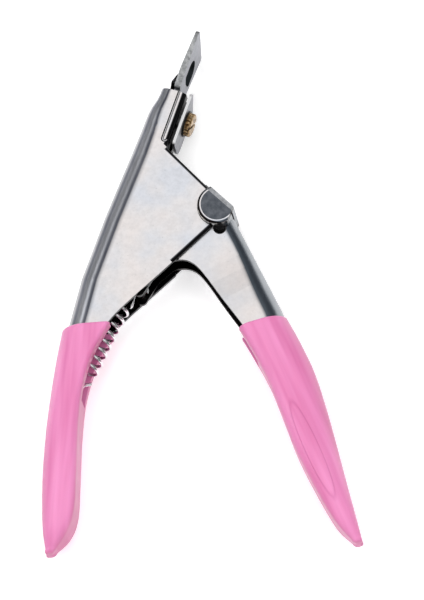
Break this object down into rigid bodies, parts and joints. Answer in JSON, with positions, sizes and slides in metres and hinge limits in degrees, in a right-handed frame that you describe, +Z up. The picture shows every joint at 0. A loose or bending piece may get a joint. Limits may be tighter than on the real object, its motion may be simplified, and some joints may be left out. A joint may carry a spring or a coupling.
{
  "type": "guillotine nail clipper",
  "caption": "Hand-held pet nail clipper: a squeezed lever drives a flat blade past a ring plate, with a return spring and dipped vinyl grips.",
  "frame": {"origin": "lever pivot axis at the underside face of the lower lug; the tool lies flat on its side", "axes": "+X across from the fixed handle to the lever, +Y toward the cutting head, +Z up out of the side plates"},
  "size_m": [0.0764, 0.1288, 0.014],
  "materials": {
    "plated_steel": "bright plated",
    "head_steel": "satin",
    "blade_steel": "dark with a ground edge",
    "dark_steel": "black oxide",
    "pin_steel": "turned",
    "spring_wire": "bright wire",
    "screw_brass": "mottled",
    "grip_vinyl": "glossy dipped"
  },
  "bodies": {
    "frame": {"main_frame": "plated_steel", "frame_grip": "grip_vinyl", "cutting_ring": "head_steel", "clamp_plate": "head_steel", "screw_washer": "dark_steel", "clamp_screw": "screw_brass", "spring_anchor_pin": "pin_steel", "return_spring": "spring_wire"},
    "lever": {"lever": "plated_steel", "lever_grip": "grip_vinyl", "drive_pin": "pin_steel", "spring_lever_pin": "pin_steel"},
    "blade": {"sliding_blade": "blade_steel", "blade_carrier": "dark_steel"}
  },
  "joints": [
    {"name": "lever_pivot", "type": "hinge", "parent": "frame", "child": "lever", "pos_m": [0, 0, 0.007], "axis": [0, 0, 1], "range_deg": [-24, 0], "stiffness_Nm_per_rad": 0.3, "springref_deg": 6.88, "deforming": ["return_spring"]},
    {"name": "blade_slide", "type": "slide", "parent": "frame", "child": "blade", "axis": [0.33, 0.944, 0], "range_m": [0, 0.0079]}
  ],
  "couplings": [
    {"joint": "blade_slide", "follows": "lever_pivot", "m_per_rad": -0.018774}
  ]
}
